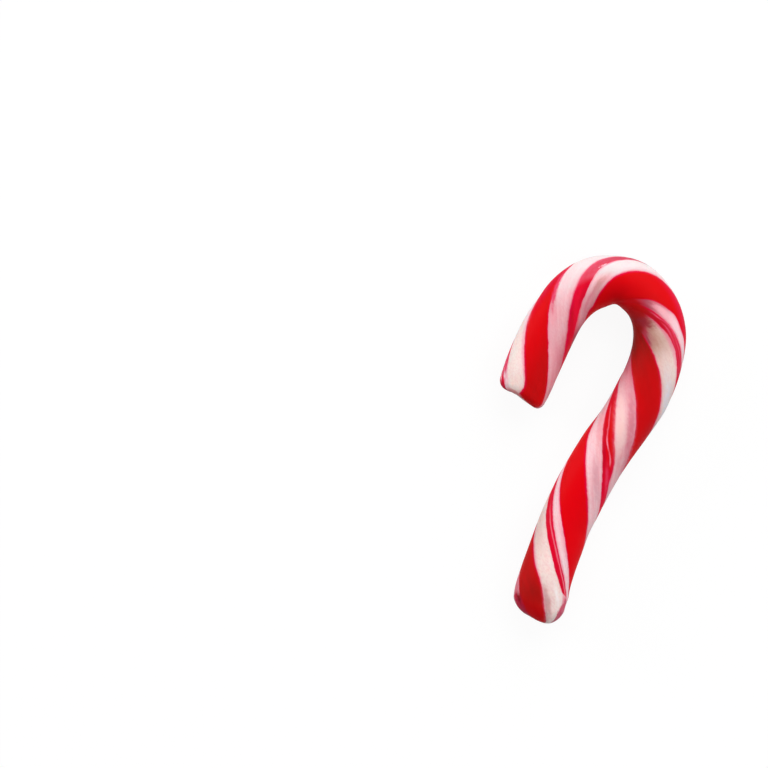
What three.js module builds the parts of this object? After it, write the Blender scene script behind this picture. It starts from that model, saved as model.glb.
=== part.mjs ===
// A small candy cane: one rope of pulled and boiled sugar, rolled and twisted while warm, snipped to length,
// bent into a crook and left to cool lying on its side on a flat tray.
// Millimetres, +Z up. The cane lies on its side: the stem runs along +Y from its foot to the crook, and the
// crook's tip hangs on the -X side. The origin is under the middle of the cane, on the surface it lies on.
import * as THREE from "three";
import { mergeVertices } from "three/addons/utils/BufferGeometryUtils.js";

// The rope. Places along it are distances from the foot, measured on its centreline.
const ROPE_LENGTH = 81.1;
const ROPE_RADIUS = 3.92;

// The centreline's heading, in degrees anticlockwise from +X, and the bends that change it one after another.
const FIRST_HEADING = 109.75;
const BENDS = [
  { name: "foot", at: 2.5, turn: -16.2, spread: 7.0 },
  { name: "stem", at: 21.7, turn: -16.3, spread: 5.1 },
  { name: "shoulder", at: 37.8, turn: 15.8, spread: 5.6 },
  { name: "crook", at: 52.5, turn: 119.3, spread: 8.6 },
  { name: "drop", at: 61.4, turn: 62.0, spread: 7.4 },
];

// The twist turns left-handed along the rope, tighter past the crook and slacker at the foot.
const TWIST_PER_MM = 9.655;
const TWIST_START = 80;
const TWIST_DRIFTS = [
  { at: 0, reach: 3, turn: 17 },
  { at: 68, reach: 8, turn: 18 },
];

// Two low ridges follow the twist, where the rope was folded from two strands.
const RIDGE_COUNT = 2;
const RIDGE_HEIGHT = 0.06;
const RIDGE_PLACE = 175;

// The crook is stretched thinner by the bending.
const THINNING = { at: 54.0, reach: 5.0, depth: 0.21 };

// Swellings, and dents where the height is negative, left by hand rolling and bending. A side is an angle round
// the rope from its top, towards the right hand of someone who walks from the foot to the tip.
const LEFT = -90;
const RIGHT = 90;
const TOP = 0;
const SWELLINGS = [
  { at: 0, side: LEFT, reach: 2.0, height: -0.43 },
  { at: 20.6, side: LEFT, reach: 4.4, height: -0.16 },
  { at: 28.0, side: LEFT, reach: 2.5, height: 0.14 },
  { at: 36.8, side: LEFT, reach: 2.3, height: 0.12 },
  { at: 46.2, side: LEFT, reach: 4.4, height: -0.07 },
  { at: 56.8, side: LEFT, reach: 2.0, height: -0.36 },
  { at: 72.0, side: LEFT, reach: 3.4, height: 0.1 },
  { at: ROPE_LENGTH, side: LEFT, reach: 2.0, height: -0.3 },
  { at: 4.2, side: RIGHT, reach: 1.2, height: 0.14 },
  { at: 14.8, side: RIGHT, reach: 2.0, height: -0.16 },
  { at: 21.7, side: RIGHT, reach: 3.3, height: 0.1 },
  { at: 36.1, side: RIGHT, reach: 1.6, height: 0.08 },
  { at: 46.1, side: RIGHT, reach: 2.3, height: 0.14 },
  { at: 51.6, side: RIGHT, reach: 1.6, height: -0.07 },
  { at: 57.8, side: RIGHT, reach: 2.0, height: -0.2 },
  { at: 67.4, side: RIGHT, reach: 1.6, height: -0.16 },
  { at: ROPE_LENGTH, side: RIGHT, reach: 2.2, height: -0.22 },
  { at: 33.0, side: TOP, reach: 5.0, height: 0.08 },
  { at: 62.0, side: TOP, reach: 6.0, height: -0.1 },
];
const SWELLING_SHARPNESS = 3;

// The two snipped ends. The cut slopes across the rope, has a hump or a hollow, and has a rounded rim; the
// shears also pinched the rope a little thinner there.
const FOOT = {
  rim: 2.2,
  offset: -0.85,
  slope: 0.025,
  hump: { at: 1.6, reach: 2.7, height: 1.0 },
  pinch: 0.12,
  pinchReach: 3.5,
};
const TIP = {
  rim: 1.2,
  offset: 0.26,
  slope: -0.18,
  hump: { at: 0.5, reach: 1.5, height: -0.29 },
  pinch: 0.12,
  pinchReach: 3.0,
};
const CUT_REACH = 7; // how far from an end the slope of its cut still shows

// The underside was pressed flat by the tray.
const FLAT_DEPTH = 0.19;

// The mesh
const SIDES = 32;
const RINGS_ALONG = 92;
const RIM_STEPS = 4;
const FACE_STEPS = 3;
const CENTRELINE_STEP = 0.05;
const CENTRELINE_OVERRUN = 4;

const CANDY_RED = 0xdc141c;

function smoothStep(distance, at, spread) {
  return (1 + Math.tanh((distance - at) / spread)) / 2;
}

function bell(x, at, reach) {
  return Math.exp(-(((x - at) / reach) ** 2));
}

function headingAt(distance) {
  const turned = BENDS.reduce(
    (sum, bend) => sum + bend.turn * smoothStep(distance, bend.at, bend.spread),
    FIRST_HEADING,
  );
  return THREE.MathUtils.degToRad(turned);
}

// The centreline in the XY plane, found by walking along the heading from the foot, and run on past both ends.
class Centreline {
  constructor() {
    this.points = [new THREE.Vector2(0, 0)];
    const steps = Math.ceil((ROPE_LENGTH + 2 * CENTRELINE_OVERRUN) / CENTRELINE_STEP);
    for (let i = 0; i < steps; i += 1) {
      const middle = (i + 0.5) * CENTRELINE_STEP - CENTRELINE_OVERRUN;
      const heading = headingAt(middle);
      const move = new THREE.Vector2(Math.cos(heading), Math.sin(heading)).multiplyScalar(CENTRELINE_STEP);
      this.points.push(this.points[i].clone().add(move));
    }
  }

  at(distance) {
    const place = (distance + CENTRELINE_OVERRUN) / CENTRELINE_STEP;
    const i = THREE.MathUtils.clamp(Math.floor(place), 0, this.points.length - 2);
    return this.points[i].clone().lerp(this.points[i + 1], place - i);
  }
}

function twistAt(distance) {
  return TWIST_DRIFTS.reduce(
    (sum, drift) => sum + drift.turn * bell(distance, drift.at, drift.reach),
    TWIST_START + TWIST_PER_MM * distance,
  );
}

// How strongly a swelling on one side shows at an angle round the rope: 1 on that side, 0 opposite it.
function shareOfSide(angle, side) {
  const facing = Math.cos(THREE.MathUtils.degToRad(angle - side));
  return ((1 + facing) / 2) ** SWELLING_SHARPNESS;
}

function radiusAt(distance, angle) {
  const ridge = THREE.MathUtils.degToRad(RIDGE_COUNT * (angle + twistAt(distance) - RIDGE_PLACE));
  const swollen = SWELLINGS.reduce(
    (sum, one) => sum + one.height * bell(distance, one.at, one.reach) * shareOfSide(angle, one.side),
    0,
  );
  const thinned = THINNING.depth * bell(distance, THINNING.at, THINNING.reach);
  return ROPE_RADIUS + RIDGE_HEIGHT * Math.cos(ridge) - thinned + swollen;
}

// How far the cut face of an end stands out along the rope, at an offset to the right of the centreline.
function cutAt(end, offset) {
  return end.offset + end.slope * offset + end.hump.height * bell(offset, end.hump.at, end.hump.reach);
}

// The lathe profile of one end of the straight rope, from the axis out to the full radius. X is the share of
// the rope's radius and Y the distance in from the end.
function endProfile(end) {
  const flatShare = 1 - end.rim / ROPE_RADIUS;
  const face = Array.from({ length: FACE_STEPS }, (_, i) => new THREE.Vector2((flatShare * i) / FACE_STEPS, 0));
  const rim = Array.from({ length: RIM_STEPS + 1 }, (_, i) => {
    const turn = ((Math.PI / 2) * i) / RIM_STEPS;
    const share = flatShare + (1 - flatShare) * Math.sin(turn);
    return new THREE.Vector2(share, end.rim * (1 - Math.cos(turn)));
  });
  return [...face, ...rim];
}

// The straight rope of radius 1, turned as one lathe profile from the foot's axis to the tip's axis.
function straightRope() {
  const foot = endProfile(FOOT);
  const tip = endProfile(TIP).map((point) => new THREE.Vector2(point.x, ROPE_LENGTH - point.y));
  const length = ROPE_LENGTH - FOOT.rim - TIP.rim;
  const between = Array.from(
    { length: RINGS_ALONG - 1 },
    (_, i) => new THREE.Vector2(1, FOOT.rim + (length * (i + 1)) / RINGS_ALONG),
  );
  const lathe = new THREE.LatheGeometry([...foot, ...between, ...tip.reverse()], SIDES);
  lathe.deleteAttribute("normal");
  lathe.deleteAttribute("uv");
  return lathe;
}

// Where a point of the straight rope ends up: moved by the slope of the nearer cut, swollen, pinched, bent
// along the centreline and kept above the tray.
function placeOnCane(point, centreline) {
  const angle = Math.atan2(point.x, point.z);
  const share = Math.hypot(point.x, point.z);
  const fromTip = ROPE_LENGTH - point.y;
  const nearFoot = THREE.MathUtils.smoothstep(CUT_REACH - point.y, 0, CUT_REACH);
  const nearTip = THREE.MathUtils.smoothstep(CUT_REACH - fromTip, 0, CUT_REACH);
  const radius = share * radiusAt(point.y, THREE.MathUtils.radToDeg(angle));
  const offset = radius * Math.sin(angle);
  const distance = point.y - nearFoot * cutAt(FOOT, offset) + nearTip * cutAt(TIP, offset);
  const pinched = FOOT.pinch * bell(point.y, 0, FOOT.pinchReach) + TIP.pinch * bell(fromTip, 0, TIP.pinchReach);
  const height = radius * Math.cos(angle) * (1 - pinched);
  const heading = headingAt(distance);
  const centre = centreline.at(distance);
  return new THREE.Vector3(
    centre.x + offset * Math.sin(heading),
    centre.y - offset * Math.cos(heading),
    Math.max(height, FLAT_DEPTH - ROPE_RADIUS),
  );
}

function caneGeometry() {
  const centreline = new Centreline();
  const geometry = straightRope();
  const position = geometry.getAttribute("position");
  const point = new THREE.Vector3();
  for (let i = 0; i < position.count; i += 1) {
    point.fromBufferAttribute(position, i);
    position.setXYZ(i, ...placeOnCane(point, centreline));
  }
  geometry.computeBoundingBox();
  const box = geometry.boundingBox;
  const middle = box.getCenter(new THREE.Vector3());
  geometry.translate(-middle.x, -middle.y, -box.min.z);
  const merged = mergeVertices(geometry);
  merged.computeVertexNormals();
  return merged;
}

const cane = new THREE.Mesh(
  caneGeometry(),
  new THREE.MeshStandardMaterial({ color: CANDY_RED, roughness: 0.42, metalness: 0 }),
);
cane.name = "cane";

const candyCane = new THREE.Group();
candyCane.name = "candy_cane";
candyCane.add(cane);

export default candyCane;
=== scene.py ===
import math

import bpy
from mathutils import Matrix, Vector


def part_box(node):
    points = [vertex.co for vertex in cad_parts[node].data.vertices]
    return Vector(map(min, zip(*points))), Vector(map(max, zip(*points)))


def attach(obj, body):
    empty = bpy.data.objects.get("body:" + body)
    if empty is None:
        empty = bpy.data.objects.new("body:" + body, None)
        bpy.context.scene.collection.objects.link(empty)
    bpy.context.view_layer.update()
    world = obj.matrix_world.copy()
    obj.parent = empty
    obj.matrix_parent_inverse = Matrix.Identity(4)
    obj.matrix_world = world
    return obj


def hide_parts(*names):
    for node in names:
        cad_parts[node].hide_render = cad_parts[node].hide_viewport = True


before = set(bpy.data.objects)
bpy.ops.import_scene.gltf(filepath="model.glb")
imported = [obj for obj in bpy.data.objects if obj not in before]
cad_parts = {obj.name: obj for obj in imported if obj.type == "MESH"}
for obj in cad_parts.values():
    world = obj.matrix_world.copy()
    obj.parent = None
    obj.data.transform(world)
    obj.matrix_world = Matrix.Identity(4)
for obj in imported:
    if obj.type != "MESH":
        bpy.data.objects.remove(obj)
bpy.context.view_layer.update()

# ---------------------------------------------------------------------------------------------------------
# The cane: one rope of boiled sugar that was pulled on a hook until it turned satiny and laid up with red
# and white strands. It was rolled and twisted by hand, snipped to length while soft, bent into a crook and
# left to cool lying on a tray.
# ---------------------------------------------------------------------------------------------------------

# Sizes are millimetres and degrees until the last step. A place along the rope is a distance from its foot,
# and a side is an angle round it from the top towards the right hand of someone walking to the tip.
MM = 0.001
ROPE_LENGTH = 81.1
ROPE_RADIUS = 3.92

# The centreline's heading at the foot, anticlockwise from the cane's width, and the bends that change it
FIRST_HEADING = 109.75
BENDS = [
    {"name": "foot", "at": 2.5, "turn": -16.2, "spread": 7.0},
    {"name": "stem", "at": 21.7, "turn": -16.3, "spread": 5.1},
    {"name": "shoulder", "at": 37.8, "turn": 15.8, "spread": 5.6},
    {"name": "crook", "at": 52.5, "turn": 119.3, "spread": 8.6},
    {"name": "drop", "at": 61.4, "turn": 62.0, "spread": 7.4},
]
CENTRELINE_STEP = 0.1
CENTRELINE_OVERRUN = 4.0

# The twist turns left-handed along the rope, tighter past the crook and slacker at the foot.
TWIST_PER_MM = 9.655
TWIST_START = 80
TWIST_DRIFTS = [
    {"at": 0, "reach": 3, "turn": 17},
    {"at": 68, "reach": 8, "turn": 18},
]

# Two low ridges follow the twist, where the rope was folded double. The crook was stretched thinner.
RIDGE_COUNT = 2
RIDGE_HEIGHT = 0.06
RIDGE_PLACE = 175
THINNING = {"at": 54.0, "reach": 5.0, "depth": 0.21}

# Swellings, and dents where the height is negative, left by hand rolling and bending
LEFT = -90
RIGHT = 90
TOP = 0
SWELLING_SHARPNESS = 3.0
SWELLINGS = [
    {"at": 0, "side": LEFT, "reach": 2.0, "height": -0.43},
    {"at": 20.6, "side": LEFT, "reach": 4.4, "height": -0.16},
    {"at": 28.0, "side": LEFT, "reach": 2.5, "height": 0.14},
    {"at": 36.8, "side": LEFT, "reach": 2.3, "height": 0.12},
    {"at": 46.2, "side": LEFT, "reach": 4.4, "height": -0.07},
    {"at": 56.8, "side": LEFT, "reach": 2.0, "height": -0.36},
    {"at": 72.0, "side": LEFT, "reach": 3.4, "height": 0.1},
    {"at": ROPE_LENGTH, "side": LEFT, "reach": 2.0, "height": -0.3},
    {"at": 4.2, "side": RIGHT, "reach": 1.2, "height": 0.14},
    {"at": 14.8, "side": RIGHT, "reach": 2.0, "height": -0.16},
    {"at": 21.7, "side": RIGHT, "reach": 3.3, "height": 0.1},
    {"at": 36.1, "side": RIGHT, "reach": 1.6, "height": 0.08},
    {"at": 46.1, "side": RIGHT, "reach": 2.3, "height": 0.14},
    {"at": 51.6, "side": RIGHT, "reach": 1.6, "height": -0.07},
    {"at": 57.8, "side": RIGHT, "reach": 2.0, "height": -0.2},
    {"at": 67.4, "side": RIGHT, "reach": 1.6, "height": -0.16},
    {"at": ROPE_LENGTH, "side": RIGHT, "reach": 2.2, "height": -0.22},
    {"at": 33.0, "side": TOP, "reach": 5.0, "height": 0.08},
    {"at": 62.0, "side": TOP, "reach": 6.0, "height": -0.1},
]

# The snipped ends: how far each cut stands out, how it slopes across the rope, and its hump or hollow
FOOT_CUT = {"offset": -0.85, "slope": 0.025, "hump_at": 1.6, "hump_reach": 2.7, "hump": 1.0}
TIP_CUT = {"offset": 0.26, "slope": -0.18, "hump_at": 0.5, "hump_reach": 1.5, "hump": -0.29}
CUT_REACH = 7.0
TORN_HEIGHT = 0.8

# The red strands, as the two edges that each one has round the rope once the twist is taken out. An edge
# wanders along the rope, so it is given at a few distances from the foot, within a span round its middle.
RED_STRANDS = [
    {
        "name": "first thin strand",
        "middle": 348,
        "far_softness": 2.0,
        "from": {0: 333, 21: 331, 25: 334, 29: 331, 32: 333, 36: 338, 57: 332, 60: 326.5, 61.5: 322,
                 64: 328, 67: 338, 70: 343, 81: 343},
        "to": {0: 360, 22: 354, 27: 367, 29: 363, 32: 363, 36: 364, 55: 356, 61: 353, 68: 366, 73: 374,
               81: 376},
    },
    {
        "name": "first wide strand",
        "middle": 92,
        "far_softness": 1.5,
        "from": {0: 66, 3: 58, 5.5: 55, 9: 51, 27: 49, 33: 57, 36: 56, 40: 52, 60: 58, 61.8: 53,
                 62.7: 45, 65.5: 49, 68: 57, 74: 61, 79: 64, 81: 70},
        "to": {0: 140, 1: 129, 3: 125, 5.5: 126, 8: 123, 11: 122, 33: 120, 36: 124, 41: 128, 46: 127,
               68: 114, 70.5: 119, 75: 122, 79: 128, 80: 137, 81: 150},
    },
    {
        "name": "second thin strand",
        "middle": 183,
        "far_softness": 1.3,
        "from": {0: 200, 4.2: 191, 5: 176, 6: 173, 9: 170, 13: 170, 17: 173, 42: 180, 45: 184, 48: 178,
                 75: 172, 79: 184, 81: 192},
        "to": {0: 187, 4.2: 191, 6: 191, 9: 189, 13: 191, 17: 195, 42: 205, 44: 203, 48: 199, 50: 196,
               53: 199, 81: 205},
    },
    {
        "name": "second wide strand",
        "middle": 250,
        "far_softness": 1.7,
        "from": {0: 204, 7: 208, 15: 214, 19: 216, 43: 219, 45: 224, 47: 225, 48.4: 229, 49.3: 225,
                 51: 220, 53: 211, 57: 204, 81: 214},
        "to": {0: 280, 12: 286, 15: 287, 22: 292, 27: 288, 30: 294, 50: 290, 53: 293, 55: 291.5,
               57: 289, 61: 284, 62.5: 286, 65: 300, 81: 300},
    },
]
WANDER_SPAN = 60.0

# Low relief: a crease along each strand's edge, the unevenness of hand rolling, lumps at the snipped ends,
# and a crack in the crust beside the foot
CREASE_DEPTH = 0.035
CREASE_REACH = 0.22
UNEVENNESS = 0.03
UNEVENNESS_SIZE = 7.0
END_LUMPS = {"size": 1.7, "height": 0.16, "reach": 2.4}
CRUST_CRACK = {"at": 2.6, "reach": 1.9, "width": 0.16, "depth": 0.09}
CRUST_LINE = {"middle": 183, "line": {0: 156, 1: 160, 2.2: 168, 4: 176, 6: 180, 81: 180}}

# The mesh
RINGS = 560
SIDES = 156
WELD_DISTANCE = 0.002


def heading_at(distance):
    turned = sum(b["turn"] * (1 + math.tanh((distance - b["at"]) / b["spread"])) / 2 for b in BENDS)
    return math.radians(FIRST_HEADING + turned)


def add(tree, kind, inputs=(), **settings):
    """Adds a node with its settings. An input is a value, a socket, or a node whose first output feeds it."""
    node = tree.nodes.new(kind)
    for name, value in settings.items():
        setattr(node, name, value)
    for key, value in inputs.items() if isinstance(inputs, dict) else enumerate(inputs):
        if isinstance(value, bpy.types.Node):
            value = value.outputs[0]
        if isinstance(value, bpy.types.NodeSocket):
            tree.links.new(value, node.inputs[key])
        elif value is not None:
            node.inputs[key].default_value = value
    return node


def calculate(tree, operation, *values, **settings):
    """Adds a node that calculates with one to three values."""
    return add(tree, "ShaderNodeMath", values, operation=operation, **settings)


def bell(tree, value, at, reach):
    """Nodes for a smooth bump: 1 where value is at, fading over reach."""
    away = calculate(tree, "SUBTRACT", value, at)
    share = calculate(tree, "DIVIDE", away, reach)
    square = calculate(tree, "MULTIPLY", share, share)
    minus = calculate(tree, "MULTIPLY", square, -1.0)
    return calculate(tree, "EXPONENT", minus)


def fade(tree, value, start, end, low=0.0, high=1.0, **settings):
    """Adds a node for a smooth change from low to high while value goes from start to end."""
    return add(tree, "ShaderNodeMapRange", [value, start, end, low, high], interpolation_type="SMOOTHSTEP",
               **settings)


def edge_at(tree, distance, strand, side):
    """Nodes for where an edge of a strand lies at a distance along the rope, in degrees from its middle."""
    share = calculate(tree, "DIVIDE", distance, ROPE_LENGTH)
    wander = add(tree, "ShaderNodeFloatCurve", {"Value": share})
    points = wander.mapping.curves[0].points
    knots = [
        (at / ROPE_LENGTH, (place - strand["middle"]) / WANDER_SPAN / 2 + 0.5)
        for at, place in strand[side].items()
    ]
    points[0].location = knots[0]
    points[1].location = knots[-1]
    for knot in knots[1:-1]:
        points.new(*knot)
    for point in points:
        point.handle_type = "AUTO_CLAMPED"
    wander.mapping.update()
    return calculate(tree, "MULTIPLY_ADD", wander, 2 * WANDER_SPAN, -WANDER_SPAN)


def off_line(tree, turned, distance, strand, side):
    """Nodes for how far a point is past a line that wanders round the rope, in degrees."""
    away = calculate(tree, "SUBTRACT", turned, strand["middle"])
    wrapped = calculate(tree, "WRAP", away, 180.0, -180.0)
    return calculate(tree, "SUBTRACT", wrapped, edge_at(tree, distance, strand, side))


def depth_in_strand(tree, turned, distance, strand, softness=1.0):
    """Nodes for how far a point is inside a strand, in degrees, and less than 0 outside."""
    past = off_line(tree, turned, distance, strand, "from")
    beyond = off_line(tree, turned, distance, strand, "to")
    before = calculate(tree, "MULTIPLY", beyond, -1.0 / softness)
    return calculate(tree, "MINIMUM", past, before)


def largest(tree, values):
    """Nodes for the largest of some values."""
    most = values[0]
    for value in values[1:]:
        most = calculate(tree, "MAXIMUM", most, value)
    return most


# The centreline, found by walking along the heading from the foot and run on past both ends.
centreline = bpy.data.curves.new("centreline", "CURVE")
centreline.dimensions = "3D"
steps = round((ROPE_LENGTH + 2 * CENTRELINE_OVERRUN) / CENTRELINE_STEP)
spline = centreline.splines.new("POLY")
spline.points.add(steps)
place = Vector((0.0, 0.0, 0.0))
for step in range(steps + 1):
    spline.points[step].co = (*place, 1.0)
    heading = heading_at((step + 0.5) * CENTRELINE_STEP - CENTRELINE_OVERRUN)
    place = place + CENTRELINE_STEP * Vector((math.cos(heading), math.sin(heading), 0.0))
walker = bpy.data.objects.new("centreline", centreline)
bpy.context.scene.collection.objects.link(walker)

# The rope is a grid, rolled into a straight rod with rounded ends and then laid along the centreline.
rolling = bpy.data.node_groups.new("roll_and_bend_rope", "GeometryNodeTree")
rolling.interface.new_socket("Geometry", in_out="OUTPUT", socket_type="NodeSocketGeometry")
rolling.interface.new_socket("Geometry", in_out="INPUT", socket_type="NodeSocketGeometry")
ROPE_INPUTS = {
    "Rope length": ROPE_LENGTH,
    "Rope radius": ROPE_RADIUS,
    "Foot rim": 2.2,
    "Tip rim": 1.2,
    "Twist per mm": TWIST_PER_MM,
    "Twist at foot": TWIST_START,
    "Pinch at ends": 0.12,
    "Pinch reach": 3.25,
    "Flat depth": 0.19,
}
for name in ROPE_INPUTS:
    rolling.interface.new_socket(name, in_out="INPUT", socket_type="NodeSocketFloat")
size = add(rolling, "NodeGroupInput").outputs

grid = add(rolling, "GeometryNodeMeshGrid", {
    "Size X": 1,
    "Size Y": 1,
    "Vertices X": RINGS,
    "Vertices Y": SIDES + 1,
})
spot = add(rolling, "ShaderNodeSeparateXYZ", [add(rolling, "GeometryNodeInputPosition")])
along = calculate(rolling, "ADD", spot.outputs["X"], 0.5)
side = calculate(rolling, "MULTIPLY", spot.outputs["Y"], 2 * math.pi)

# The profile: out over the foot's face, round its rim, along the rope, round the tip's rim and back in. Each
# stretch takes its own length off what is left of the way along.
face = {}
quarter = {}
for end in ("Foot", "Tip"):
    rim = size[f"{end} rim"]
    face[end] = calculate(rolling, "SUBTRACT", size["Rope radius"], rim)
    quarter[end] = calculate(rolling, "MULTIPLY", rim, math.pi / 2)
rims = calculate(rolling, "ADD", size["Foot rim"], size["Tip rim"])
straight = calculate(rolling, "SUBTRACT", size["Rope length"], rims)
stretches = [face["Foot"], quarter["Foot"], straight, quarter["Tip"], face["Tip"]]
total = stretches[0]
for stretch in stretches[1:]:
    total = calculate(rolling, "ADD", total, stretch)
left = calculate(rolling, "MULTIPLY", along, total)
gone = []
for stretch in stretches:
    start = calculate(rolling, "MAXIMUM", left, 0.0)
    gone.append(calculate(rolling, "MINIMUM", start, stretch))
    left = calculate(rolling, "SUBTRACT", left, stretch)
foot_turn = calculate(rolling, "DIVIDE", gone[1], size["Foot rim"])
tip_turn = calculate(rolling, "DIVIDE", gone[3], size["Tip rim"])
foot_sine = calculate(rolling, "SINE", foot_turn)
foot_cosine = calculate(rolling, "COSINE", foot_turn)
tip_sine = calculate(rolling, "SINE", tip_turn)
tip_cosine = calculate(rolling, "COSINE", tip_turn)
foot_in = calculate(rolling, "SUBTRACT", 1.0, foot_cosine)
tip_in = calculate(rolling, "SUBTRACT", 1.0, tip_cosine)
out = calculate(rolling, "MULTIPLY_ADD", foot_sine, size["Foot rim"], gone[0])
back = calculate(rolling, "MULTIPLY_ADD", tip_in, size["Tip rim"], gone[4])
reach = calculate(rolling, "SUBTRACT", out, back)
share = calculate(rolling, "DIVIDE", reach, size["Rope radius"])
rise = calculate(rolling, "MULTIPLY_ADD", foot_in, size["Foot rim"], gone[2])
distance = calculate(rolling, "MULTIPLY_ADD", tip_sine, size["Tip rim"], rise)
from_tip = calculate(rolling, "SUBTRACT", size["Rope length"], distance)

# The twist, and the angle round the rope with the twist taken out
twist = calculate(rolling, "MULTIPLY_ADD", distance, size["Twist per mm"], size["Twist at foot"])
for drift in TWIST_DRIFTS:
    near = bell(rolling, distance, drift["at"], drift["reach"])
    twist = calculate(rolling, "MULTIPLY_ADD", near, drift["turn"], twist)
side_degrees = calculate(rolling, "DEGREES", side)
turned = calculate(rolling, "ADD", side_degrees, twist)

# The radius, with ridges, swellings and the thin stretch of the crook
ridge_angle = calculate(rolling, "MULTIPLY_ADD", turned, RIDGE_COUNT, -RIDGE_COUNT * RIDGE_PLACE)
ridge_radians = calculate(rolling, "RADIANS", ridge_angle)
ridge = calculate(rolling, "COSINE", ridge_radians)
radius = calculate(rolling, "MULTIPLY_ADD", ridge, RIDGE_HEIGHT, size["Rope radius"])
thin = bell(rolling, distance, THINNING["at"], THINNING["reach"])
radius = calculate(rolling, "MULTIPLY_ADD", thin, -THINNING["depth"], radius)
facing = {}
for place_round in (LEFT, RIGHT, TOP):
    away = calculate(rolling, "SUBTRACT", side, math.radians(place_round))
    cosine = calculate(rolling, "COSINE", away)
    half = calculate(rolling, "MULTIPLY_ADD", cosine, 0.5, 0.5)
    facing[place_round] = calculate(rolling, "POWER", half, SWELLING_SHARPNESS)
for swelling in SWELLINGS:
    near = bell(rolling, distance, swelling["at"], swelling["reach"])
    here = calculate(rolling, "MULTIPLY", near, facing[swelling["side"]])
    radius = calculate(rolling, "MULTIPLY_ADD", here, swelling["height"], radius)

# The place on the straight, untwisted rope, where the noise of the relief and the material's patterns lie
turned_radians = calculate(rolling, "RADIANS", turned)
across = calculate(rolling, "MULTIPLY", share, size["Rope radius"])
turned_cosine = calculate(rolling, "COSINE", turned_radians)
turned_sine = calculate(rolling, "SINE", turned_radians)
straight_x = calculate(rolling, "MULTIPLY", turned_cosine, across)
straight_y = calculate(rolling, "MULTIPLY", turned_sine, across)
untwisted = add(rolling, "ShaderNodeCombineXYZ", [straight_x, straight_y, distance])

# The creases and the unevenness
degrees_per_mm = math.degrees(1 / ROPE_RADIUS)
depth = largest(rolling, [depth_in_strand(rolling, turned, distance, strand) for strand in RED_STRANDS])
crease = bell(rolling, depth, 0.0, CREASE_REACH * degrees_per_mm)
radius = calculate(rolling, "MULTIPLY_ADD", crease, -CREASE_DEPTH, radius)
lumps = add(rolling, "ShaderNodeTexNoise", {"Vector": untwisted, "Scale": 1 / UNEVENNESS_SIZE, "Detail": 3.0})
level = calculate(rolling, "SUBTRACT", lumps.outputs[0], 0.5)
radius = calculate(rolling, "MULTIPLY_ADD", level, 2 * UNEVENNESS, radius)

# The shears left the two ends lumpy, and the sugar cracked along a line beside the foot.
small_lumps = add(rolling, "ShaderNodeTexNoise", {
    "Vector": untwisted,
    "Scale": 1 / END_LUMPS["size"],
    "Detail": 3.0,
    "Roughness": 0.6,
})
small_level = calculate(rolling, "SUBTRACT", small_lumps.outputs[0], 0.5)
at_foot = bell(rolling, distance, 0.0, END_LUMPS["reach"])
at_tip = bell(rolling, from_tip, 0.0, END_LUMPS["reach"])
at_end = calculate(rolling, "ADD", at_foot, at_tip)
end_level = calculate(rolling, "MULTIPLY", small_level, at_end)
radius = calculate(rolling, "MULTIPLY_ADD", end_level, 2 * END_LUMPS["height"], radius)
off_crack = off_line(rolling, turned, distance, CRUST_LINE, "line")
crack = bell(rolling, off_crack, 0.0, CRUST_CRACK["width"] * degrees_per_mm)
crack_near = bell(rolling, distance, CRUST_CRACK["at"], CRUST_CRACK["reach"])
crack = calculate(rolling, "MULTIPLY", crack, crack_near)
radius = calculate(rolling, "MULTIPLY_ADD", crack, -CRUST_CRACK["depth"], radius)

# The cuts across the two ends, their torn faces, the pinch of the shears, and the flat that the tray pressed
whole = calculate(rolling, "MULTIPLY", share, radius)
side_sine = calculate(rolling, "SINE", side)
side_cosine = calculate(rolling, "COSINE", side)
offset = calculate(rolling, "MULTIPLY", whole, side_sine)
moved = distance
for cut, inward, sign in ((FOOT_CUT, distance, -1), (TIP_CUT, from_tip, 1)):
    slope = calculate(rolling, "MULTIPLY_ADD", offset, cut["slope"], cut["offset"])
    hump = bell(rolling, offset, cut["hump_at"], cut["hump_reach"])
    stands = calculate(rolling, "MULTIPLY_ADD", hump, cut["hump"], slope)
    near = fade(rolling, inward, 0.0, CUT_REACH, 1.0, 0.0)
    shift = calculate(rolling, "MULTIPLY", stands, near)
    moved = calculate(rolling, "MULTIPLY_ADD", shift, sign, moved)
inner = calculate(rolling, "SUBTRACT", 1.0, share, use_clamp=True)
torn = calculate(rolling, "MULTIPLY", inner, small_level)
moved = calculate(rolling, "MULTIPLY_ADD", torn, TORN_HEIGHT, moved)
pinched = 0.0
for inward in (distance, from_tip):
    inward_share = calculate(rolling, "DIVIDE", inward, size["Pinch reach"])
    near = bell(rolling, inward_share, 0.0, 1.0)
    pinched = calculate(rolling, "MULTIPLY_ADD", near, size["Pinch at ends"], pinched)
unpinched = calculate(rolling, "SUBTRACT", 1.0, pinched)
height = calculate(rolling, "MULTIPLY", whole, side_cosine)
height = calculate(rolling, "MULTIPLY", height, unpinched)
tray = calculate(rolling, "SUBTRACT", size["Flat depth"], size["Rope radius"])
height = calculate(rolling, "MAXIMUM", height, tray)

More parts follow.
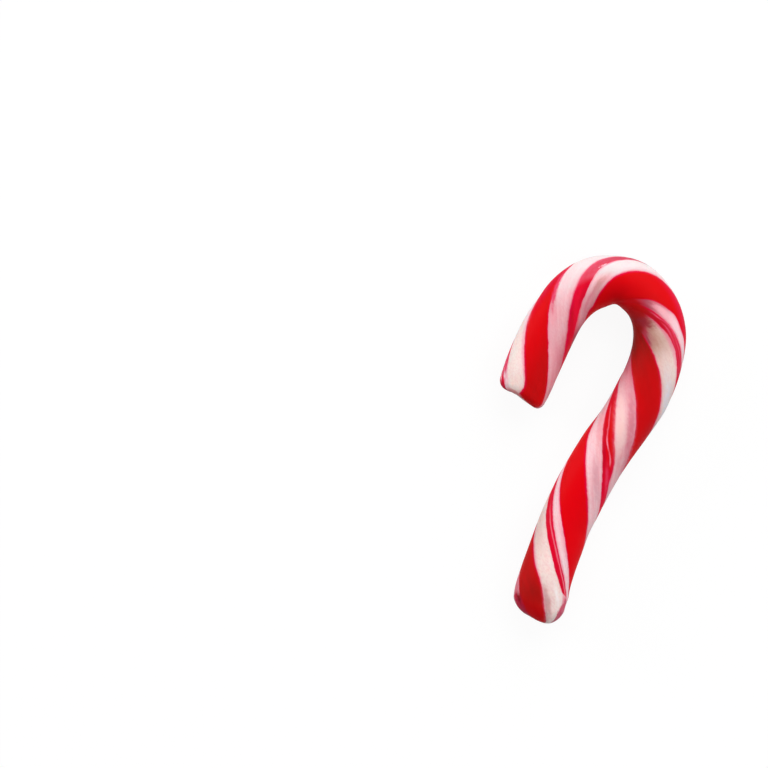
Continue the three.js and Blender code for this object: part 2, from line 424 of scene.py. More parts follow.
# Bent along the centreline
walked = calculate(rolling, "ADD", moved, CENTRELINE_OVERRUN)
sample = add(rolling, "GeometryNodeSampleCurve", {"Curves": size["Geometry"], "Length": walked},
             mode="LENGTH")
travel = add(rolling, "ShaderNodeSeparateXYZ", [sample.outputs["Tangent"]])
left_y = calculate(rolling, "MULTIPLY", travel.outputs["X"], -1.0)
right_hand = add(rolling, "ShaderNodeCombineXYZ", [travel.outputs["Y"], left_y, 0.0])
sideways = add(rolling, "ShaderNodeVectorMath", {0: right_hand, "Scale": offset}, operation="SCALE")
upwards = add(rolling, "ShaderNodeCombineXYZ", [0.0, 0.0, height])
bent = add(rolling, "ShaderNodeVectorMath", [sample.outputs["Position"], sideways], operation="ADD")
bent = add(rolling, "ShaderNodeVectorMath", [bent, upwards], operation="ADD")

# What the material needs is stored before the grid is rolled up: the place on the untwisted rope, and the
# sine and cosine of the side, with the share of the radius.
side_x = calculate(rolling, "MULTIPLY", side_sine, share)
side_y = calculate(rolling, "MULTIPLY", side_cosine, share)
sides = add(rolling, "ShaderNodeCombineXYZ", [side_x, side_y, share])
shape = grid
for name, value in (("untwisted", untwisted), ("side", sides)):
    shape = add(rolling, "GeometryNodeStoreNamedAttribute", {"Geometry": shape, "Name": name, "Value": value},
                data_type="FLOAT_VECTOR", domain="POINT")
held = add(rolling, "GeometryNodeSetPosition", {"Geometry": shape, "Position": bent})
closed = add(rolling, "GeometryNodeMergeByDistance", {"Geometry": held, "Distance": WELD_DISTANCE})
metres = add(rolling, "GeometryNodeTransform", {"Geometry": closed, "Scale": (MM, MM, MM)})
smooth = add(rolling, "GeometryNodeSetShadeSmooth", {"Geometry": metres})
realized = add(rolling, "GeometryNodeRealizeInstances", [smooth])


def linear(hex_colour):
    """An sRGB hex colour as the linear colour that Blender takes."""
    channels = [int(hex_colour[i:i + 2], 16) / 255 for i in (1, 3, 5)]
    return [c / 12.92 if c <= 0.04045 else ((c + 0.055) / 1.055) ** 2.4 for c in channels] + [1.0]


# Pulled boiled sugar: air drawn out into fine threads makes it satiny and nearly opaque, with a soft sheen
# and no hard highlight. The red strands are dyed through, and look crimson where they thin out over the
# white. The white ones take up a little of the dye. Shade is painted into the colour as well: the red darker
# and the white rosy, and mauve where darkest, where the rope lies in shade; and a painted highlight turns
# the white paler on the lit outside of the crook.
RED = "#E5000E"
FOLDED_RED = "#E80430"
THIN_RED = "#E00444"
# Painted shade: the dark red that the red strands are painted where the rope lies in shade
SHADE_RED = "#8C1A14"
# Painted highlight: the paler crimson of a thin red strand on the lit outside of the crook
HIGHLIGHT_CRIMSON = "#E4607A"
BLUSH_PINK = "#F08CA4"
PINK_WHITE = "#FACED4"
CREAM_WHITE = "#FCE6E0"
# Painted highlight: the pale white that the white strands are painted on the lit outside of the crook
HIGHLIGHT_WHITE = "#E6DADB"
PALE_STREAK = "#FFEDEC"
PINK_STREAK = "#F0A2B0"
# Painted shade: the colours that the white and the cream are painted in shade, and mauve where it is deepest
SHADE_ROSE = "#CF6878"
CREAM_SHADE_TAN = "#C4988A"
DEEPEST_SHADE_MAUVE = "#AC4658"
CORE_WHITE = "#F4E0DA"

# Painted shade: the patches where the red is painted darker and the white rosy, on the sides and stretches of
# the rope that lie in shade
RED_SHADE_SHARPNESS = 3.0
RED_SHADE_PLACES = [
    {"name": "foot, top", "at": 3, "side": TOP, "reach": 2.5, "amount": 0.54},
    {"name": "foot, beside the cream", "at": 6, "side": -30, "reach": 4, "amount": 0.27},
    {"name": "lower stem, inner side", "at": 10, "side": LEFT, "reach": 10, "amount": 0.34},
    {"name": "upper stem, outer side", "at": 33, "side": RIGHT, "reach": 6, "amount": 0.25},
    {"name": "shoulder, all round", "at": 42, "side": -30, "reach": 15, "amount": 0.36},
    {"name": "shoulder, top", "at": 42, "side": TOP, "reach": 6, "amount": 0.2},
    {"name": "crook, inside", "at": 45, "side": LEFT, "reach": 4, "amount": 0.7},
    {"name": "crook, deeper inside", "at": 49.8, "side": -60, "reach": 3.2, "amount": 0.42},
    {"name": "crook, outside", "at": 55, "side": RIGHT, "reach": 4.5, "amount": 0.25},
    {"name": "drop, outside", "at": 60, "side": RIGHT, "reach": 5, "amount": 0.3},
    {"name": "drop, top", "at": 66, "side": TOP, "reach": 4, "amount": 0.15},
    {"name": "tip, inner side", "at": 78, "side": -30, "reach": 11, "amount": 0.4},
]
# Painted shade on the white strands: rosy patches on the sides and stretches of the rope that lie in shade
ROSY_SHADE_SHARPNESS = 4.0
ROSY_SHADE_PLACES = [
    {"name": "foot, end", "at": 0, "side": -60, "reach": 2.5, "amount": 1.6},
    {"name": "foot, top", "at": 4, "side": -20, "reach": 3, "amount": 0.2},
    {"name": "lower stem, outer side", "at": 13.2, "side": RIGHT, "reach": 1.6, "amount": 0.45},
    {"name": "middle stem, outer side", "at": 19.8, "side": RIGHT, "reach": 1.8, "amount": 0.15},
    {"name": "lower stem, inner side", "at": 11, "side": LEFT, "reach": 6, "amount": 0.6},
    {"name": "stem, top", "at": 23, "side": 30, "reach": 6, "amount": 0.14},
    {"name": "stem, outer side", "at": 30, "side": RIGHT, "reach": 6, "amount": 0.75},
    {"name": "stem, upper inner side", "at": 30, "side": -60, "reach": 3, "amount": 0.25},
    {"name": "shoulder, top", "at": 38, "side": TOP, "reach": 4, "amount": 0.6},
    {"name": "shoulder, inner side", "at": 39.5, "side": LEFT, "reach": 4, "amount": 0.65},
    {"name": "crook, inside", "at": 48, "side": -75, "reach": 4.8, "amount": 1.9},
    {"name": "crook, beside the inside", "at": 45.0, "side": -10, "reach": 2.4, "amount": 0.65},
    {"name": "crook, further inside", "at": 54, "side": LEFT, "reach": 12, "amount": 0.8},
    {"name": "crook, under the bend", "at": 52.6, "side": TOP, "reach": 2.6, "amount": 1.3},
    {"name": "crook, outer side", "at": 49.8, "side": 45, "reach": 1.4, "amount": 0.5},
    {"name": "crook, inmost side", "at": 58.5, "side": LEFT, "reach": 2.5, "amount": 0.35},
    {"name": "drop, inner side", "at": 61.5, "side": -60, "reach": 4.3, "amount": 0.52},
    {"name": "drop, inmost side", "at": 70, "side": -115, "reach": 3.2, "amount": 1.35},
    {"name": "drop, outer side", "at": 67.5, "side": 45, "reach": 1.8, "amount": 0.22},
    {"name": "drop, top", "at": 68, "side": 15, "reach": 5, "amount": 0.18},
    {"name": "tip, inner side", "at": 74, "side": LEFT, "reach": 8, "amount": 0.85},
    {"name": "tip, top", "at": 79.8, "side": -20, "reach": 1.6, "amount": 0.3},
]

sugar = bpy.data.materials.new("pulled_boiled_sugar")
sugar.use_nodes = True
coat = sugar.node_tree
coat.nodes.clear()
rope = add(coat, "ShaderNodeAttribute", attribute_name="untwisted").outputs["Vector"]
rope_parts = add(coat, "ShaderNodeSeparateXYZ", [rope])
way = rope_parts.outputs["Z"]
radians = calculate(coat, "ARCTAN2", rope_parts.outputs["Y"], rope_parts.outputs["X"])
degrees = calculate(coat, "DEGREES", radians)
side_place = add(coat, "ShaderNodeAttribute", attribute_name="side").outputs["Vector"]
side_parts = add(coat, "ShaderNodeSeparateXYZ", [side_place])
outwards = side_parts.outputs["X"]
share_of_radius = side_parts.outputs["Z"]


def painted(ground, layers):
    """Nodes for a colour with layers over it, each with its share. A colour is a hex value or a socket."""
    colour = linear(ground) if isinstance(ground, str) else ground
    for share, over in layers:
        over = linear(over) if isinstance(over, str) else over
        colour = add(coat, "ShaderNodeMix", {0: share, 6: colour, 7: over}, data_type="RGBA").outputs[2]
    return colour


def painted_shade(places, sharpness):
    """Nodes for how much painted shade the rope takes, in patches at a distance along it and on a side."""
    total = 0.0
    for place in places:
        towards = (math.sin(math.radians(place["side"])), math.cos(math.radians(place["side"])), 0.0)
        facing_it = add(coat, "ShaderNodeVectorMath", [side_place, towards], operation="DOT_PRODUCT")
        half = calculate(coat, "MULTIPLY_ADD", facing_it.outputs["Value"], 0.5, 0.5)
        near_side = calculate(coat, "POWER", half, sharpness)
        near = bell(coat, way, place["at"], place["reach"])
        here = calculate(coat, "MULTIPLY", near, near_side)
        total = calculate(coat, "MULTIPLY_ADD", here, place["amount"], total, label=place["name"])
    return total


# The edges of the strands waver a little, as the strands were laid on by hand. Each one's far edge was laid
# down last and is the softer one.
WOBBLE = 2.6
WOBBLES_PER_MM = 1.1
EDGE_SOFTNESS = 0.07
wobble = add(coat, "ShaderNodeTexNoise", {
    "Vector": rope,
    "Scale": WOBBLES_PER_MM,
    "Detail": 5.0,
    "Roughness": 0.6,
})
wobble_level = calculate(coat, "SUBTRACT", wobble, 0.5)
wobbled = calculate(coat, "MULTIPLY_ADD", wobble_level, 2 * WOBBLE, degrees)
mm_per_degree = 1 / degrees_per_mm
depths = {}
soft_depths = []
for strand in RED_STRANDS:
    depth = depth_in_strand(coat, wobbled, way, strand)
    depths[strand["name"]] = calculate(coat, "MULTIPLY", depth, mm_per_degree)
    soft_depth = depth_in_strand(coat, wobbled, way, strand, strand["far_softness"])
    soft_depths.append(calculate(coat, "MULTIPLY", soft_depth, mm_per_degree))
deepest = largest(coat, list(depths.values()))
soft_deepest = largest(coat, soft_depths)
deepest_thin = largest(coat, [depths["first thin strand"], depths["second thin strand"]])
deepest_wide = largest(coat, [depths["first wide strand"], depths["second wide strand"]])
on_thin = calculate(coat, "GREATER_THAN", deepest_thin, deepest_wide)
striped = fade(coat, soft_deepest, -EDGE_SOFTNESS, EDGE_SOFTNESS)

# Streaks of drawn-out air and dye run along the strands with soft clouds between them, and a fine mottling
# and a grain lie all over. The finer ones are drawn as coarse as they need to show.
DRAWN_OUT = {
    "pale streaks": {"width": 0.6, "length": 10.0, "shift": (0.0, 0.0, 0.0), "detail": 2.5,
                     "roughness": 0.55, "distortion": 0.5},
    "pink streaks": {"width": 1.0, "length": 10.0, "shift": (2.0, 5.0, 9.0), "detail": 2.0,
                     "roughness": 0.5, "distortion": 0.6},
    "clouds": {"width": 1.6, "length": 5.0, "shift": (7.0, 3.0, 1.0), "detail": 3.0,
               "roughness": 0.55, "distortion": 0.0},
}
ALL_OVER = {
    "mottle": {"size": 0.32, "detail": 2.0, "roughness": 0.6},
    "grain": {"size": 0.6, "detail": 4.0, "roughness": 0.6},
}
pattern = {}
for name, drawn in DRAWN_OUT.items():
    drawn_place = add(coat, "ShaderNodeMapping", {
        "Vector": rope,
        "Location": drawn["shift"],
        "Scale": (1 / drawn["width"], 1 / drawn["width"], 1 / drawn["length"]),
    })
    pattern[name] = add(coat, "ShaderNodeTexNoise", {
        "Vector": drawn_place,
        "Scale": 1.0,
        "Detail": drawn["detail"],
        "Roughness": drawn["roughness"],
        "Distortion": drawn["distortion"],
    })
for name, specks in ALL_OVER.items():
    pattern[name] = add(coat, "ShaderNodeTexNoise", {
        "Vector": rope,
        "Scale": 1 / specks["size"],
        "Detail": specks["detail"],
        "Roughness": specks["roughness"],
    })

# The painted shade is a little uneven, as the clouds are.
CLOUDY = {"from": 0.32, "to": 0.68, "least": 0.88, "most": 1.12}
cloudy = fade(coat, pattern["clouds"], CLOUDY["from"], CLOUDY["to"])
uneven = add(coat, "ShaderNodeMapRange", [cloudy, 0.0, 1.0, CLOUDY["least"], CLOUDY["most"]])

# White strands: pinkish or cream, with streaks and mottling
CREAM_STRAND = {"middle": 151, "from": {0: 129, 81: 129}, "to": {0: 174, 81: 174}}
CREAM_EDGE = 4.0
STREAKS = {
    "pale streaks": {"colour": PALE_STREAK, "from": 0.4, "to": 0.66, "on pink": 0.38, "on cream": 0.15},
    "pink streaks": {"colour": PINK_STREAK, "from": 0.48, "to": 0.68, "on pink": 0.4, "on cream": 0.08},
}
MOTTLING = {"from": 0.42, "to": 0.68, "share": 0.2, "on rosy": 0.16}
cream_depth = depth_in_strand(coat, wobbled, way, CREAM_STRAND)
creamy = fade(coat, cream_depth, -CREAM_EDGE, CREAM_EDGE)
white_layers = [(creamy, CREAM_WHITE)]
for name, streak in STREAKS.items():
    seen = fade(coat, pattern[name], streak["from"], streak["to"])
    most = fade(coat, creamy, 0.0, 1.0, streak["on pink"], streak["on cream"])
    streaked = calculate(coat, "MULTIPLY", seen, most)
    white_layers.append((streaked, streak["colour"]))
mottled = fade(coat, pattern["mottle"], MOTTLING["from"], MOTTLING["to"], 0.0, MOTTLING["share"])
white_layers.append((mottled, PINK_STREAK))

# They are painted paler on the lit outside of the crook, a painted highlight, and blushed along the red ones.
HIGHLIGHT_PLACE = {"at": 57.5, "reach": 8.5, "from": 0.08, "to": 0.36}
BLUSH = {"reach": 0.42, "from": 0.3, "to": 0.7, "least": 0.35, "on cream": 0.55}
lit_outer_side = fade(coat, outwards, HIGHLIGHT_PLACE["from"], HIGHLIGHT_PLACE["to"])
highlight_near = bell(coat, way, HIGHLIGHT_PLACE["at"], HIGHLIGHT_PLACE["reach"])
painted_highlight = calculate(coat, "MULTIPLY", lit_outer_side, highlight_near)
white_layers.append((painted_highlight, HIGHLIGHT_WHITE))
blush = fade(coat, deepest, -BLUSH["reach"], 0.0)
blush_share = add(coat, "ShaderNodeMapRange", [
    pattern["clouds"],
    BLUSH["from"],
    BLUSH["to"],
    BLUSH["least"],
    1.0,
])
blush = calculate(coat, "MULTIPLY", blush, blush_share)
cream_blush = fade(coat, creamy, 0.0, 1.0, 1.0, BLUSH["on cream"])
blush = calculate(coat, "MULTIPLY", blush, cream_blush)
white_layers.append((blush, BLUSH_PINK))

# Painted shade: they are painted rosy where the rope lies in shade, tan on the cream, and mauve where the
# shade is deepest.
ROSY_SHADE_TO_MAUVE = (0.95, 1.5)
# Painted shade on the white strands, in the patches listed above
rosy = calculate(coat, "MULTIPLY", painted_shade(ROSY_SHADE_PLACES, ROSY_SHADE_SHARPNESS), uneven)
rosy = calculate(coat, "MULTIPLY_ADD", pattern["mottle"], MOTTLING["on rosy"], rosy)
rosy = calculate(coat, "SUBTRACT", rosy, MOTTLING["on rosy"] / 2)
white_layers.append((rosy, painted(SHADE_ROSE, [(creamy, CREAM_SHADE_TAN)])))
deepest_shade = fade(coat, rosy, *ROSY_SHADE_TO_MAUVE)
white_layers.append((deepest_shade, DEEPEST_SHADE_MAUVE))
white = painted(PINK_WHITE, white_layers)

# Painted shade deep inside the crook: the white strands there are painted red as well, so that the painted
# shade of the red covers them too.
CROOK_SHADE_PLACE = {"name": "crook, deep inside", "at": 51.5, "side": LEFT, "reach": 5.5, "amount": 1.35}
CROOK_SHADE = {"from": 0.1, "to": 0.4, "share": 0.96}
crook_shade_strength = calculate(coat, "MULTIPLY", painted_shade([CROOK_SHADE_PLACE], ROSY_SHADE_SHARPNESS), uneven)
crook_shade = fade(coat, crook_shade_strength, CROOK_SHADE["from"], CROOK_SHADE["to"], 0.0, CROOK_SHADE["share"])
outside_crook_shade = calculate(coat, "SUBTRACT", 1.0, crook_shade)

# Red strands: a little pinker where a thin one was folded, crimson along the edges and round the outside of
# the crook, a painted highlight on a thin one over its lit outside, and painted shade where the rope lies in
# shade
BRIGHT_FOLD = {"at": 29.5, "reach": 4.5}
CRIMSON_EDGE = {"from": 0.04, "to": 0.3}
OUTER_EDGE = {"at": 56, "reach": 16, "from": 0.7, "to": 1.0, "share": 0.9}
HIGHLIGHT_GRAIN = {"from": 0.3, "to": 0.7, "least": 0.7}
RED_SHADE_AT_EDGE = 0.4
fold_bright = bell(coat, way, BRIGHT_FOLD["at"], BRIGHT_FOLD["reach"])
folded = calculate(coat, "SUBTRACT", 1.0, fold_bright)
folded = calculate(coat, "MULTIPLY", folded, on_thin)
folded = calculate(coat, "MULTIPLY", folded, outside_crook_shade)
core = painted(RED, [(folded, FOLDED_RED)])
dyed_through = fade(coat, soft_deepest, CRIMSON_EDGE["from"], CRIMSON_EDGE["to"])
dyed_through = calculate(coat, "MAXIMUM", dyed_through, crook_shade)
outer_side = fade(coat, outwards, OUTER_EDGE["from"], OUTER_EDGE["to"])
outer_near = bell(coat, way, OUTER_EDGE["at"], OUTER_EDGE["reach"])
outer = calculate(coat, "MULTIPLY", outer_side, outer_near)
outer_kept = calculate(coat, "MULTIPLY_ADD", outer, -OUTER_EDGE["share"], 1.0)
core_share = calculate(coat, "MULTIPLY", dyed_through, outer_kept)
# Painted highlight on the thin red strands over the lit outside of the crook
thin_highlight = calculate(coat, "MULTIPLY", painted_highlight, on_thin)
highlight_grain = fade(coat, pattern["grain"], HIGHLIGHT_GRAIN["from"], HIGHLIGHT_GRAIN["to"], HIGHLIGHT_GRAIN["least"], 1.0)
thin_highlight = calculate(coat, "MULTIPLY", thin_highlight, highlight_grain)
# Painted shade on the red strands, in the patches listed above
deep = calculate(coat, "MULTIPLY", painted_shade(RED_SHADE_PLACES, RED_SHADE_SHARPNESS), uneven, use_clamp=True)
red_shade_most = fade(coat, dyed_through, 0.0, 1.0, RED_SHADE_AT_EDGE, 1.0)
deep = calculate(coat, "MULTIPLY", deep, red_shade_most)
red = painted(THIN_RED, [(core_share, core), (thin_highlight, HIGHLIGHT_CRIMSON), (deep, SHADE_RED)])
redness = calculate(coat, "MAXIMUM", striped, crook_shade)
layers = [(redness, red)]

# The thin strands were folded double, so a thread of pink shows along parts of their middle, and fine lines
# of dye were drawn out over the white beside them. A thread wanders as a strand's edge does.
STEM_FOLD = {"middle": 348, "line": {0: 354, 25.9: 354, 27.1: 351, 28.1: 345, 29.3: 344, 30.4: 347, 81: 348}}
THREADS = [
    {"name": "fold in the stem", "at": 27.3, "reach": 1.7, "width": 0.14, "share": 0.9,
     "colour": "#F690A8", "path": STEM_FOLD},
    {"name": "fold higher in the stem", "at": 30.8, "reach": 2.4, "width": 0.12, "share": 0.5,
     "colour": "#F0809A", "path": STEM_FOLD},
    {"name": "fold in the lower stem", "at": 10.5, "reach": 6.6, "width": 0.13, "share": 0.75,
     "colour": "#F08AA2",
     "path": {"middle": 183, "line": {0: 184, 5: 185, 9: 184, 13: 184, 18: 188, 81: 188}}},
    {"name": "fold in the shoulder", "at": 45.8, "reach": 4.0, "width": 0.17, "share": 0.7,
     "colour": "#F06C94",
     "path": {"middle": 183, "line": {0: 196, 44.8: 196, 46.9: 198, 47.9: 196, 49.1: 191, 81: 191}}},
    {"name": "second fold in the shoulder", "at": 44.5, "reach": 3.4, "width": 0.14, "share": 0.5,
     "colour": "#F0608C",
     "path": {"middle": 183, "line": {0: 187, 42.5: 187, 46.9: 190, 48.2: 188, 81: 188}}},
    {"name": "dye in the upper stem", "at": 30.0, "reach": 4.2, "width": 0.44, "share": 0.75,
     "colour": "#E0788E",
     "path": {"middle": 42, "line": {0: 19, 26.6: 19, 27.8: 24, 29.4: 34, 30.4: 43, 31.9: 47,
                                     33.7: 42, 81: 42}}},
    {"name": "dye in the drop", "at": 62.6, "reach": 2.6, "width": 0.3, "share": 0.55,
     "colour": "#DE7088",
     "path": {"middle": 308, "line": {0: 303, 60.5: 303, 64.5: 314, 81: 314}}},
]
THREAD_ENDS = {"from": 0.25, "to": 0.6}
WORN = {"from": 0.38, "to": 0.58, "least": 0.35}
worn = fade(coat, pattern["pale streaks"], WORN["from"], WORN["to"], WORN["least"], 1.0)
for thread in THREADS:
    aside = off_line(coat, wobbled, way, thread["path"], "line")
    on_line = bell(coat, aside, 0.0, thread["width"] * degrees_per_mm)
    near = bell(coat, way, thread["at"], thread["reach"])
    shows = fade(coat, near, THREAD_ENDS["from"], THREAD_ENDS["to"], label=thread["name"])
    for share in (on_line, worn, outside_crook_shade, thread["share"]):
        shows = calculate(coat, "MULTIPLY", shows, share)
    layers.append((shows, thread["colour"]))

# Marks by their distance from the foot and their place round the untwisted rope. Most are marks of the
# shears, the fingers and the tray; the sheen on the stem, and the glints and the chalky white on the lit
# outside of the crook, are painted highlights, and the dusky cream inside the crook is painted shade. Each
# has a reach along the rope and one round it, and a ragged edge that is sharp or soft.
SHARP = (0.2, 0.62)
SOFT = (0.0, 1.0)
SPECKLED = (0.9, 1.2)
MARKS = [
    {"name": "foot, rosy corner", "at": 3.7, "turned": 45, "reach": 2.2, "round": 14, "edge": SHARP,
     "colour": "#DC7484", "share": 0.9},
    {"name": "foot, crimson corner", "at": 0.6, "turned": 46, "reach": 2.1, "round": 27, "edge": SHARP,
     "colour": "#BE143C", "share": 0.96},
    {"name": "foot, dark nick", "at": 2.0, "turned": 55, "reach": 0.8, "round": 9, "edge": SOFT,
     "colour": "#8E1018", "share": 0.9},
    {"name": "foot, pale nick", "at": 1.6, "turned": 26, "reach": 0.8, "round": 7, "edge": SOFT,
     "colour": "#E08C9C", "share": 0.9},
    {"name": "foot, scar", "at": 3.0, "turned": 133, "reach": 2.8, "round": 9, "edge": SOFT,
     "colour": "#C4888C", "share": 0.7},
    {"name": "foot, bloom", "at": 4.3, "turned": 160, "reach": 1.6, "round": 5.5, "edge": SOFT,
     "colour": "#FFF2F2", "share": 0.8},
    {"name": "foot, lower tear", "at": 1.6, "turned": 172, "reach": 1.4, "round": 12, "edge": SHARP,
     "colour": "#EC9CAC", "share": 0.9},
    {"name": "foot, upper tear", "at": 3.3, "turned": 183, "reach": 1.3, "round": 11, "edge": SHARP,
     "colour": "#F09AAA", "share": 0.9},
    {"name": "foot, first crimson tear", "at": 1.1, "turned": 167, "reach": 1.3, "round": 10, "edge": SHARP,
     "colour": "#C64460", "share": 0.85},
    {"name": "foot, second crimson tear", "at": 2.1, "turned": 177, "reach": 1.2, "round": 9, "edge": SHARP,
     "colour": "#C84460", "share": 0.8},
    {"name": "foot, third crimson tear", "at": 3.1, "turned": 187, "reach": 1.1, "round": 9, "edge": SHARP,
     "colour": "#D8506A", "share": 0.9},
    {"name": "stem, grey smudge", "at": 22.8, "turned": 316, "reach": 3.2, "round": 9, "edge": SOFT,
     "colour": "#DC98A6", "share": 0.65},
    {"name": "stem, dark fold", "at": 27.5, "turned": 337, "reach": 4.0, "round": 5, "edge": SOFT,
     "colour": "#C80828", "share": 0.9},
    {"name": "stem, sheen", "at": 23.4, "turned": 346, "reach": 2.0, "round": 5, "edge": SOFT,
     "colour": "#F04470", "share": 0.55},
    {"name": "stem, pale fold", "at": 31.5, "turned": 17, "reach": 4.5, "round": 15, "edge": SOFT,
     "colour": "#F8D2CC", "share": 0.7},
    {"name": "stem, rosy edge", "at": 31.0, "turned": 45, "reach": 7.0, "round": 12, "edge": SOFT,
     "colour": "#DA8090", "share": 0.8},
    {"name": "stem, second rosy edge", "at": 30.0, "turned": 322, "reach": 4.5, "round": 9, "edge": SOFT,
     "colour": "#EE9EA6", "share": 0.75},
    {"name": "shoulder, cool cream", "at": 37.0, "turned": 149, "reach": 4.0, "round": 17, "edge": SOFT,
     "colour": "#E6E2EC", "share": 0.8},
    # Painted shade: the cream darkened to mauve on the inside of the crook
    {"name": "crook, dusky cream", "at": 48.4, "turned": 157, "reach": 1.4, "round": 20, "edge": SOFT,
     "colour": "#962C38", "share": 0.85},
    {"name": "shoulder, pale corner", "at": 46.0, "turned": 214, "reach": 2.7, "round": 9, "edge": SHARP,
     "colour": "#FFE0E8", "share": 0.4},
    {"name": "crook, pale fold", "at": 49.2, "turned": 211, "reach": 1.7, "round": 9, "edge": SOFT,
     "colour": "#F4BCC6", "share": 0.7},
    # Painted highlight: near white on the lit outside of the crook
    {"name": "crook, chalky white", "at": 53.5, "turned": 312, "reach": 3.6, "round": 15, "edge": SOFT,
     "colour": "#FFF6F6", "share": 0.4},
    {"name": "crook, glints", "at": 59.4, "turned": 332, "reach": 2.0, "round": 8, "edge": SPECKLED,
     "colour": "#FFD0DA", "share": 0.9},
    {"name": "crook, dusky patch", "at": 60.0, "turned": 301, "reach": 1.6, "round": 9, "edge": SOFT,
     "colour": "#D89896", "share": 0.85},
    {"name": "drop, bright fold", "at": 65.5, "turned": 342, "reach": 3.4, "round": 12, "edge": SOFT,
     "colour": "#F4123C", "share": 0.6},
    {"name": "drop, soft edge", "at": 65.4, "turned": 48, "reach": 2.6, "round": 7, "edge": SOFT,
     "colour": "#E0486C", "share": 1.0},
    {"name": "drop, pale cream", "at": 69.0, "turned": 130, "reach": 2.2, "round": 14, "edge": SOFT,
     "colour": "#FFE6EE", "share": 0.7},
    {"name": "tip, thinned strand", "at": 77.4, "turned": 188, "reach": 2.6, "round": 14, "edge": SHARP,
     "colour": "#E8648A", "share": 0.5},
    {"name": "tip, streaked strand", "at": 77.6, "turned": 190, "reach": 2.4, "round": 13, "edge": SPECKLED,
     "colour": "#F8A4B8", "share": 0.8},
    {"name": "tip, pinch", "at": 79.3, "turned": 187, "reach": 0.6, "round": 4, "edge": SOFT,
     "colour": "#FFD4DC", "share": 0.9},
    {"name": "tip, curl", "at": 81.0, "turned": 206, "reach": 0.8, "round": 18, "edge": SHARP,
     "colour": "#C81438", "share": 0.95},
    {"name": "tip, lip", "at": 81.1, "turned": 166, "reach": 0.45, "round": 24, "edge": SHARP,
     "colour": "#DE8286", "share": 0.8},
]
RAGGEDNESS = 2.0
grain_level = calculate(coat, "SUBTRACT", pattern["grain"], 0.5)
raggedness = calculate(coat, "MULTIPLY_ADD", grain_level, RAGGEDNESS, 1.0)
for mark in MARKS:
    away = calculate(coat, "SUBTRACT", wobbled, mark["turned"])
    wrapped = calculate(coat, "WRAP", away, 180.0, -180.0)
    near_round = bell(coat, wrapped, 0.0, mark["round"])
    near = bell(coat, way, mark["at"], mark["reach"])
    here = calculate(coat, "MULTIPLY", near_round, near)
    ragged = calculate(coat, "MULTIPLY", here, raggedness)
    shows = fade(coat, ragged, *mark["edge"], 0.0, mark["share"], label=mark["name"])
    layers.append((shows, mark["colour"]))

# The snipped ends: the striped skin was drawn in over a paler, torn core, which takes a share of the radius.
CORE = {"from": 0.4, "to": 0.28, "share": 0.92, "torn": 0.35}
torn_share = calculate(coat, "MULTIPLY_ADD", grain_level, CORE["torn"], share_of_radius)
core_shows = fade(coat, torn_share, CORE["from"], CORE["to"], 0.0, CORE["share"])
layers.append((core_shows, CORE_WHITE))

shader = add(coat, "ShaderNodeBsdfPrincipled", {
    "Base Color": painted(white, layers),
    "Roughness": 0.5,
    "IOR": 1.5,
    "Specular IOR Level": 0.03,
    "Subsurface Weight": 0.4,
    "Subsurface Radius": (2.5, 0.5, 0.4),
    "Subsurface Scale": MM,
})
add(coat, "ShaderNodeOutputMaterial", {"Surface": shader})

finished = add(rolling, "GeometryNodeSetMaterial", {"Geometry": realized, "Material": sugar})
add(rolling, "NodeGroupOutput", [finished])

roller = walker.modifiers.new("roll_and_bend", "NODES")
roller.node_group = rolling
for item in rolling.interface.items_tree:
    if item.item_type == "SOCKET" and item.in_out == "INPUT" and item.name in ROPE_INPUTS:
        roller[item.identifier] = float(ROPE_INPUTS[item.name])
evaluated = walker.evaluated_get(bpy.context.evaluated_depsgraph_get())
cane_mesh = bpy.data.meshes.new_from_object(evaluated)
cane_mesh.name = "striped_rope"
walker.modifiers.remove(roller)
bpy.data.objects.remove(walker)

# The rope is laid where the cane's CAD node lies.
corners = [Vector(v.co) for v in cane_mesh.vertices]
low = Vector(min(c[i] for c in corners) for i in range(3))
high = Vector(max(c[i] for c in corners) for i in range(3))
node_low, node_high = (Vector(corner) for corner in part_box("cane"))
shift = (node_low + node_high) / 2 - (low + high) / 2
shift.z = node_low.z - low.z
cane_mesh.transform(Matrix.Translation(shift))
cane = bpy.data.objects.new("striped_rope", cane_mesh)
bpy.context.scene.collection.objects.link(cane)
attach(cane, "root")
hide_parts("cane")

# ---------------------------------------------------------------------------------------------------------
# The table top: a sheet of chipboard faced with white melamine laminate, pressed smooth and matt. It is much
# larger than the cane, and shows only a faint shadow on it.
# ---------------------------------------------------------------------------------------------------------
TABLE_HALF = 3.0
TABLE_GREY = "#505050"
TABLE_GLOW = 0.925
table_mesh = bpy.data.meshes.new("table_top")
table_mesh.from_pydata(
    [(x * TABLE_HALF, y * TABLE_HALF, 0.0) for x, y in ((-1, -1), (1, -1), (1, 1), (-1, 1))],
    [],
    [(0, 1, 2, 3)],
)
table = bpy.data.objects.new("table_top", table_mesh)
bpy.context.scene.collection.objects.link(table)
laminate = bpy.data.materials.new("white_laminate")
laminate.use_nodes = True
laminate_tree = laminate.node_tree
laminate_tree.nodes.clear()
table_shader = add(laminate_tree, "ShaderNodeBsdfPrincipled", {
    "Base Color": linear(TABLE_GREY),
    "Roughness": 0.9,
    "Specular IOR Level": 0.0,
    "Emission Color": linear("#FFFFFF"),
    "Emission Strength": TABLE_GLOW,
})
add(laminate_tree, "ShaderNodeOutputMaterial", {"Surface": table_shader})
table_mesh.materials.append(laminate)
table.visible_diffuse = False  # its glow lights nothing, as the room's light from below does that

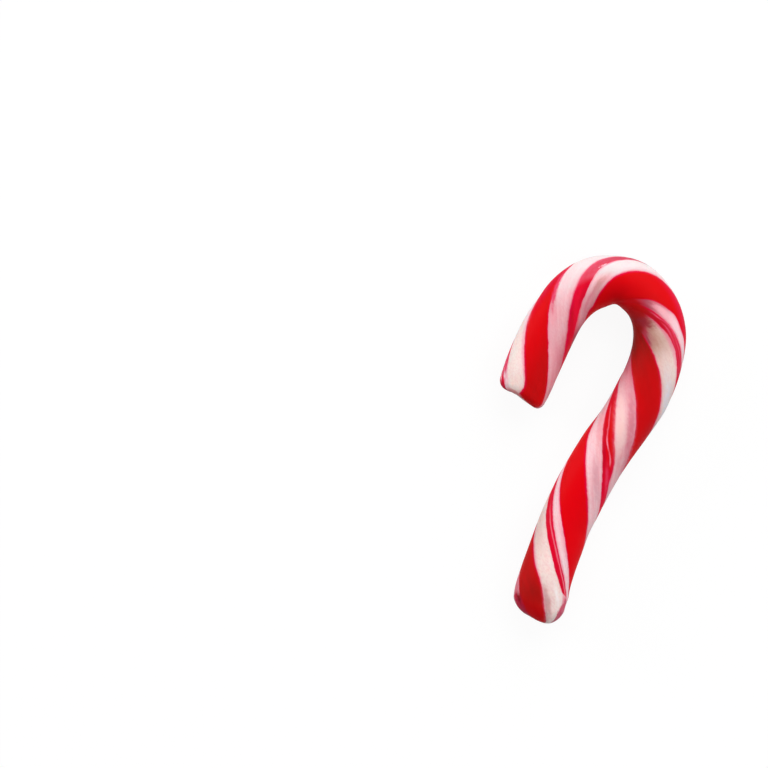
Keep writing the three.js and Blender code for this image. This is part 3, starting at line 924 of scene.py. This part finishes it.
# ---------------------------------------------------------------------------------------------------------
# Light: a large soft box beyond the crook, a low small one on the stem's left, a large weak one on its right,
# and what little the white room gives. The white table throws light back up from below.
# ---------------------------------------------------------------------------------------------------------
CAMERA_TURN = 25.1
LAMP_DISTANCE = 1.2
SOFT_BOXES = [
    {"name": "key_soft_box", "bearing": 68.0, "elevation": 36.0, "size": 1.3, "power": 14.0},
    {"name": "left_soft_box", "bearing": 150.0, "elevation": 15.0, "size": 0.6, "power": 6.8},
    {"name": "right_soft_box", "bearing": 345.0, "elevation": 36.0, "size": 1.3, "power": 5.0},
]
ROOM_ABOVE = 0.33
ROOM_BELOW = 0.2
HORIZON = (-0.1, 0.05)
room = bpy.data.worlds.new("white_room")
room.use_nodes = True
room.node_tree.nodes.clear()
outlook = add(room.node_tree, "ShaderNodeTexCoord")
up = add(room.node_tree, "ShaderNodeSeparateXYZ", [outlook.outputs["Generated"]])
strength = fade(room.node_tree, up.outputs["Z"], *HORIZON, ROOM_BELOW, ROOM_ABOVE)
room_light = add(room.node_tree, "ShaderNodeBackground", {"Color": linear("#FFFFFF"), "Strength": strength})
add(room.node_tree, "ShaderNodeOutputWorld", {"Surface": room_light})
bpy.context.scene.world = room
for soft_box in SOFT_BOXES:
    lamp = bpy.data.lights.new(soft_box["name"], "AREA")
    lamp.shape = "SQUARE"
    lamp.size = soft_box["size"]
    lamp.energy = soft_box["power"]
    stand = bpy.data.objects.new(soft_box["name"], lamp)
    bpy.context.scene.collection.objects.link(stand)
    bearing = math.radians(soft_box["bearing"] + CAMERA_TURN)
    elevation = math.radians(soft_box["elevation"])
    towards_lamp = Vector((
        math.cos(elevation) * math.cos(bearing),
        math.cos(elevation) * math.sin(bearing),
        math.sin(elevation),
    ))
    stand.location = LAMP_DISTANCE * towards_lamp
    stand.rotation_euler = towards_lamp.to_track_quat("Z", "Y").to_euler()

# ---------------------------------------------------------------------------------------------------------
# Camera: straight above the table, a little to the left of the cane, which lies turned in its view.
# ---------------------------------------------------------------------------------------------------------
CAMERA_X = -26.79
CAMERA_Y = -5.19
CAMERA_HEIGHT = 1200.0
VIEW_WIDTH = 112.74
SENSOR = 36.0
camera_data = bpy.data.cameras.new("camera")
camera_data.sensor_width = SENSOR
camera_data.lens = SENSOR * CAMERA_HEIGHT / VIEW_WIDTH
camera_data.clip_start = 0.05
camera = bpy.data.objects.new("camera", camera_data)
bpy.context.scene.collection.objects.link(camera)
camera.location = (CAMERA_X * MM, CAMERA_Y * MM, (CAMERA_HEIGHT + ROPE_RADIUS) * MM)
camera.rotation_euler = (0.0, 0.0, math.radians(CAMERA_TURN))
bpy.context.scene.camera = camera
bpy.context.scene.view_settings.view_transform = "Standard"
